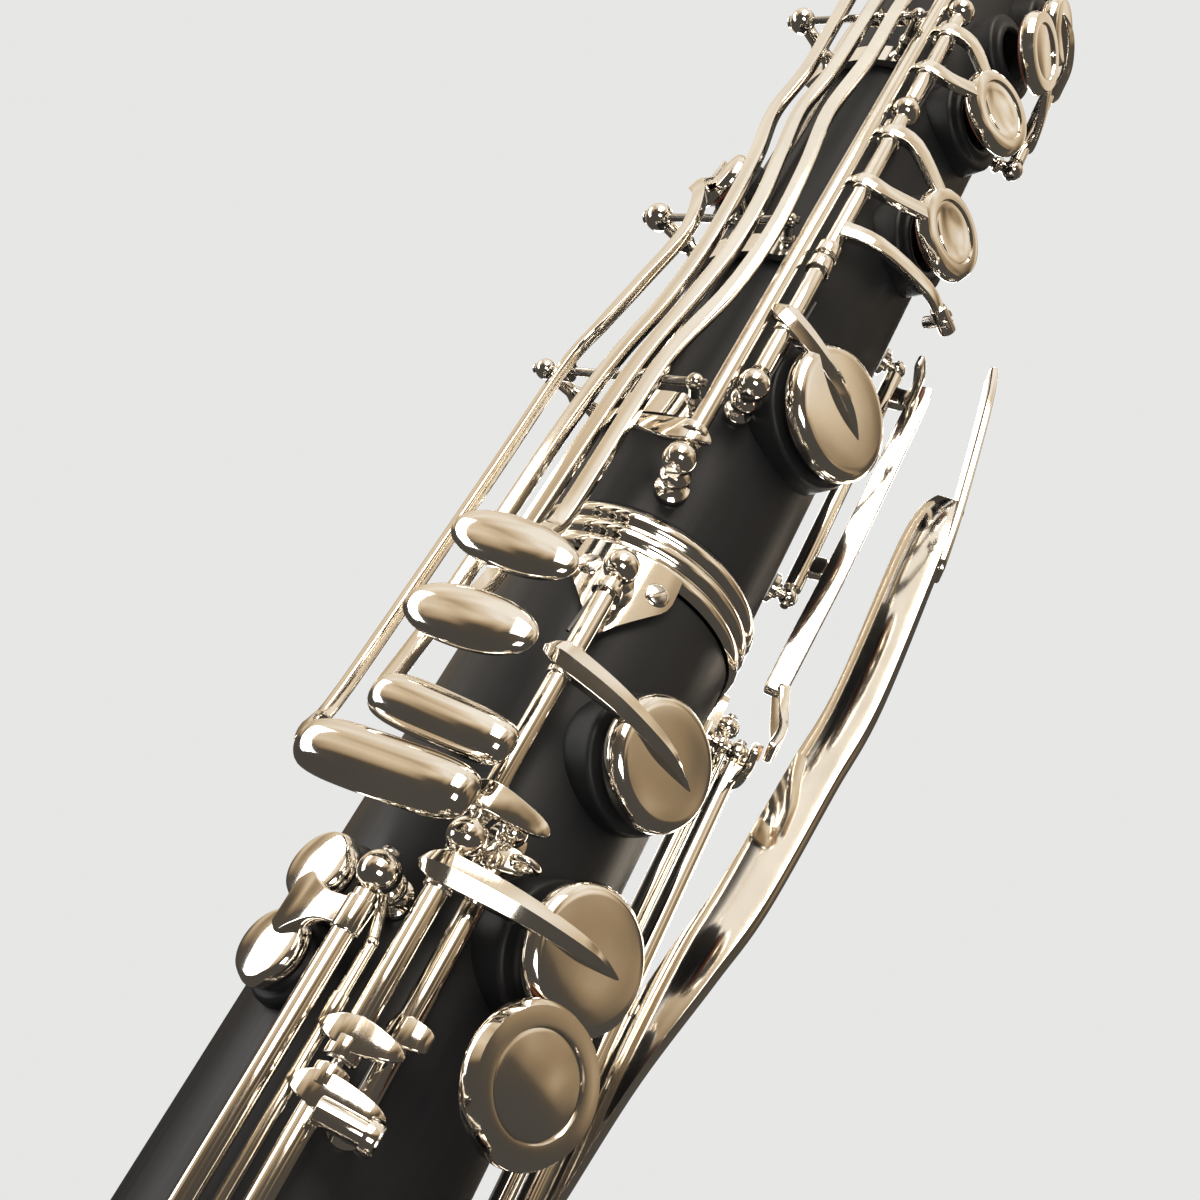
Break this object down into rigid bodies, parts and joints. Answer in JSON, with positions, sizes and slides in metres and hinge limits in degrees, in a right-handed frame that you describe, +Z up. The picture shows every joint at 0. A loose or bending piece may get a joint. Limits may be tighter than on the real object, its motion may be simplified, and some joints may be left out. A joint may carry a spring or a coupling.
{
  "type": "bass clarinet",
  "caption": "Bass clarinet with two wooden bodies, plated keywork on posts, curved neck with mouthpiece, upturned bell and sliding floor peg.",
  "frame": {"origin": "centre of the strap ring on the back of the lower body, which carries the instrument", "axes": "+Z up along the bore to the neck, -Y the front with the tone holes, +X the side of the left little finger's levers"},
  "size_m": [0.098, 0.2871, 1.1144],
  "materials": {
    "body_wood": "matte black-stained grenadilla",
    "key_plating": "polished warm nickel-silver plating",
    "post_metal": "polished posts and steel rods",
    "cork": "cut cork, matte",
    "hard_rubber": "polished black hard rubber",
    "cane": "bare reed cane",
    "peg_rubber": "moulded black rubber"
  },
  "bodies": {
    "instrument": {"bell": "key_plating", "bridge_posts": "post_metal", "front_posts": "post_metal", "left_posts": "post_metal", "lever_posts": "post_metal", "low_posts": "post_metal", "lower_joint": "body_wood", "middle_collar": "key_plating", "middle_tenon_cork": "cork", "plate_posts": "post_metal", "register_posts": "post_metal", "right_posts": "post_metal", "ring_posts": "post_metal", "side_lever_posts": "post_metal", "strap_ring": "key_plating", "throat_posts": "post_metal", "thumb_posts": "post_metal", "thumb_rest": "key_plating", "trill_posts": "post_metal", "upper_joint": "body_wood", "upper_right_posts": "post_metal", "upper_socket_ring": "key_plating"},
    "first_cup_key": {"first_cup_key": "key_plating"},
    "second_cup_key": {"second_cup_key": "key_plating"},
    "link_key": {"link_key": "key_plating"},
    "second_plate_key": {"second_plate_key": "key_plating"},
    "third_plate_key": {"third_plate_key": "key_plating"},
    "left_cups_key": {"left_cups_key": "key_plating"},
    "low_g_sharp_key": {"low_g_sharp_key": "key_plating"},
    "low_f_key": {"low_f_key": "key_plating"},
    "low_e_key": {"low_e_key": "key_plating"},
    "bridge_lever": {"bridge_lever": "key_plating"},
    "low_f_sharp_key": {"low_f_sharp_key": "key_plating"},
    "big_lever": {"big_lever": "key_plating"},
    "low_e_flat_key": {"low_e_flat_key": "key_plating"},
    "big_cup_key": {"big_cup_key": "key_plating"},
    "lower_ring_key": {"lower_ring_key": "key_plating"},
    "upper_ring_key": {"upper_ring_key": "key_plating"},
    "trill_key": {"trill_key": "key_plating"},
    "first_finger_key": {"first_finger_key": "key_plating"},
    "spoon_key": {"spoon_key": "key_plating"},
    "throat_a_key": {"throat_a_key": "key_plating"},
    "throat_g_sharp_key": {"throat_g_sharp_key": "key_plating"},
    "thumb_key": {"thumb_key": "key_plating"},
    "register_key": {"register_key": "key_plating"},
    "side_lever_1": {"side_lever_1": "key_plating"},
    "side_lever_2": {"side_lever_2": "key_plating"},
    "side_lever_3": {"side_lever_3": "key_plating"},
    "side_lever_4": {"side_lever_4": "key_plating"},
    "neck": {"neck": "key_plating", "neck_cork": "cork"},
    "neck_vent_key": {"neck_vent_key": "key_plating"},
    "mouthpiece": {"mouthpiece": "hard_rubber", "reed": "cane", "ligature": "key_plating"},
    "ligature_screw_rear": {"ligature_screw_rear": "key_plating"},
    "ligature_screw_front": {"ligature_screw_front": "key_plating"},
    "floor_peg": {"floor_peg": "post_metal", "peg_tip": "peg_rubber"},
    "peg_screw": {"peg_screw": "key_plating"}
  },
  "joints": [
    {"name": "first_cup_key_hinge", "type": "hinge", "parent": "instrument", "child": "first_cup_key", "pos_m": [-0.01892, -0.05114, 0.0053], "axis": [0, 0, -1], "range_deg": [0, 8], "stiffness_Nm_per_rad": 0.05, "springref_deg": -20.05},
    {"name": "second_cup_key_hinge", "type": "hinge", "parent": "instrument", "child": "second_cup_key", "pos_m": [-0.01892, -0.05114, -0.03522], "axis": [0, 0, -1], "range_deg": [-7.5, 0], "stiffness_Nm_per_rad": 0.05, "springref_deg": 20.05},
    {"name": "link_key_hinge", "type": "hinge", "parent": "instrument", "child": "link_key", "pos_m": [-0.01325, -0.0517, -0.0335], "axis": [0, 0, -1], "range_deg": [-12, 0]},
    {"name": "second_plate_key_hinge", "type": "hinge", "parent": "instrument", "child": "second_plate_key", "pos_m": [-0.01892, -0.05114, -0.06943], "axis": [0, 0, -1], "range_deg": [-8, 0], "stiffness_Nm_per_rad": 0.05, "springref_deg": 20.05},
    {"name": "third_plate_key_hinge", "type": "hinge", "parent": "instrument", "child": "third_plate_key", "pos_m": [-0.01892, -0.05114, -0.1235], "axis": [0, 0, -1], "range_deg": [-8, 0], "stiffness_Nm_per_rad": 0.05, "springref_deg": 20.05},
    {"name": "left_cups_key_hinge", "type": "hinge", "parent": "instrument", "child": "left_cups_key", "pos_m": [-0.02374, -0.04534, -0.066], "axis": [0, 0, 1], "range_deg": [0, 8], "stiffness_Nm_per_rad": 0.05, "springref_deg": -20.05},
    {"name": "low_g_sharp_key_hinge", "type": "hinge", "parent": "instrument", "child": "low_g_sharp_key", "pos_m": [-0.01892, -0.05114, -0.171], "axis": [0, 0, -1], "range_deg": [0, 8], "stiffness_Nm_per_rad": 0.05, "springref_deg": -20.05},
    {"name": "low_f_key_hinge", "type": "hinge", "parent": "instrument", "child": "low_f_key", "pos_m": [-0.02568, -0.03884, -0.206], "axis": [0, 0, -1], "range_deg": [-6, 0], "stiffness_Nm_per_rad": 0.05, "springref_deg": 20.05},
    {"name": "low_e_key_hinge", "type": "hinge", "parent": "instrument", "child": "low_e_key", "pos_m": [-0.02568, -0.03884, -0.2725], "axis": [0, 0, -1], "range_deg": [-6, 0], "stiffness_Nm_per_rad": 0.05, "springref_deg": 20.05},
    {"name": "bridge_lever_hinge", "type": "hinge", "parent": "instrument", "child": "bridge_lever", "pos_m": [0.02023, -0.04265, 0.089], "axis": [0, 0, 1], "range_deg": [-5.1, 0], "stiffness_Nm_per_rad": 0.05, "springref_deg": 20.05},
    {"name": "low_f_sharp_key_hinge", "type": "hinge", "parent": "instrument", "child": "low_f_sharp_key", "pos_m": [0.02264, -0.04521, -0.1161], "axis": [0, 0, 1], "range_deg": [-6, 0]},
    {"name": "big_lever_hinge", "type": "hinge", "parent": "instrument", "child": "big_lever", "pos_m": [0.02932, -0.03891, -0.0405], "axis": [0, 0, 1], "range_deg": [-10.2, 0], "stiffness_Nm_per_rad": 0.05, "springref_deg": 20.05},
    {"name": "low_e_flat_key_hinge", "type": "hinge", "parent": "instrument", "child": "low_e_flat_key", "pos_m": [0.02193, -0.0412, -0.1566], "axis": [0, 0, 1], "range_deg": [-6, 0]},
    {"name": "big_cup_key_hinge", "type": "hinge", "parent": "instrument", "child": "big_cup_key", "pos_m": [-0.01586, -0.05358, 0.08853], "axis": [0, 0, -1], "range_deg": [0, 8], "stiffness_Nm_per_rad": 0.05, "springref_deg": -20.05},
    {"name": "lower_ring_key_hinge", "type": "hinge", "parent": "instrument", "child": "lower_ring_key", "pos_m": [-0.01586, -0.05358, 0.12477], "axis": [0, 0, -1], "range_deg": [-7.5, 0], "stiffness_Nm_per_rad": 0.05, "springref_deg": 20.05},
    {"name": "upper_ring_key_hinge", "type": "hinge", "parent": "instrument", "child": "upper_ring_key", "pos_m": [-0.01586, -0.05358, 0.167], "axis": [0, 0, -1], "range_deg": [-7.5, 0], "stiffness_Nm_per_rad": 0.05, "springref_deg": 20.05},
    {"name": "trill_key_hinge", "type": "hinge", "parent": "instrument", "child": "trill_key", "pos_m": [-0.01927, -0.05081, 0.1485], "axis": [0, 0, -1], "range_deg": [0, 8], "stiffness_Nm_per_rad": 0.05, "springref_deg": -20.05},
    {"name": "first_finger_key_hinge", "type": "hinge", "parent": "instrument", "child": "first_finger_key", "pos_m": [0.02006, -0.04857, 0.19425], "axis": [0, 0, 1], "range_deg": [-8, 0], "stiffness_Nm_per_rad": 0.05, "springref_deg": 20.05},
    {"name": "spoon_key_hinge", "type": "hinge", "parent": "instrument", "child": "spoon_key", "pos_m": [0.02006, -0.04857, 0.21405], "axis": [0, 0, 1], "range_deg": [0, 8], "stiffness_Nm_per_rad": 0.05, "springref_deg": -20.05},
    {"name": "throat_a_key_hinge", "type": "hinge", "parent": "instrument", "child": "throat_a_key", "pos_m": [-0.01226, -0.05456, 0.293], "axis": [0, 0, -1], "range_deg": [0, 8], "stiffness_Nm_per_rad": 0.05, "springref_deg": -20.05},
    {"name": "throat_g_sharp_key_hinge", "type": "hinge", "parent": "instrument", "child": "throat_g_sharp_key", "pos_m": [-0.01226, -0.05456, 0.3208], "axis": [0, 0, -1], "range_deg": [0, 8], "stiffness_Nm_per_rad": 0.05, "springref_deg": -20.05},
    {"name": "thumb_key_hinge", "type": "hinge", "parent": "instrument", "child": "thumb_key", "pos_m": [0.01325, -0.00755, 0.195], "axis": [0, 0, -1], "range_deg": [-8, 0], "stiffness_Nm_per_rad": 0.05, "springref_deg": 20.05},
    {"name": "register_key_hinge", "type": "hinge", "parent": "instrument", "child": "register_key", "pos_m": [0, -0.0035, 0.281], "axis": [-1, 0, 0], "range_deg": [0, 1.2], "stiffness_Nm_per_rad": 0.1, "springref_deg": -17.19},
    {"name": "side_lever_1_hinge", "type": "hinge", "parent": "instrument", "child": "side_lever_1", "pos_m": [-0.02469, -0.04013, 0.067], "axis": [0.3633, -0.9317, 0], "range_deg": [0, 2.2], "stiffness_Nm_per_rad": 0.1, "springref_deg": -17.19},
    {"name": "side_lever_2_hinge", "type": "hinge", "parent": "instrument", "child": "side_lever_2", "pos_m": [-0.02469, -0.04013, 0.11], "axis": [0.3633, -0.9317, 0], "range_deg": [0, 1.8], "stiffness_Nm_per_rad": 0.1, "springref_deg": -17.19},
    {"name": "side_lever_3_hinge", "type": "hinge", "parent": "instrument", "child": "side_lever_3", "pos_m": [-0.02702, -0.04103, 0.174], "axis": [0.3633, -0.9317, 0], "range_deg": [0, 1], "stiffness_Nm_per_rad": 0.1, "springref_deg": -17.19},
    {"name": "side_lever_4_hinge", "type": "hinge", "parent": "instrument", "child": "side_lever_4", "pos_m": [-0.02702, -0.04103, 0.174], "axis": [0.3633, -0.9317, 0], "range_deg": [0, 0.8], "stiffness_Nm_per_rad": 0.1, "springref_deg": -17.19},
    {"name": "neck_pull", "type": "slide", "parent": "instrument", "child": "neck", "axis": [0, 0, 1], "range_m": [0, 0.01]},
    {"name": "neck_vent_key_hinge", "type": "hinge", "parent": "neck", "child": "neck_vent_key", "pos_m": [0, -0.0471, 0.43], "axis": [1, 0, 0], "range_deg": [0, 5]},
    {"name": "mouthpiece_pull", "type": "slide", "parent": "neck", "child": "mouthpiece", "axis": [0, 0.9703, 0.2419], "range_m": [0, 0.006]},
    {"name": "ligature_screw_rear_turn", "type": "hinge", "parent": "mouthpiece", "child": "ligature_screw_rear", "pos_m": [0, 0.04436, 0.47742], "axis": [1, 0, 0], "range_deg": [0, 360]},
    {"name": "ligature_screw_front_turn", "type": "hinge", "parent": "mouthpiece", "child": "ligature_screw_front", "pos_m": [0, 0.05794, 0.48081], "axis": [1, 0, 0], "range_deg": [0, 360]},
    {"name": "floor_peg_slide", "type": "slide", "parent": "instrument", "child": "floor_peg", "axis": [0, 0, 1], "range_m": [0, 0.1]},
    {"name": "peg_screw_turn", "type": "hinge", "parent": "instrument", "child": "peg_screw", "pos_m": [0, 0.0125, -0.445], "axis": [0, 1, 0], "range_deg": [0, 360]}
  ],
  "couplings": [
    {"joint": "link_key_hinge", "follows": "second_cup_key_hinge", "ratio": 1.6},
    {"joint": "low_f_sharp_key_hinge", "follows": "bridge_lever_hinge", "ratio": 1.176},
    {"joint": "low_e_flat_key_hinge", "follows": "big_lever_hinge", "ratio": 0.588},
    {"joint": "neck_vent_key_hinge", "follows": "register_key_hinge", "ratio": 4.1}
  ]
}
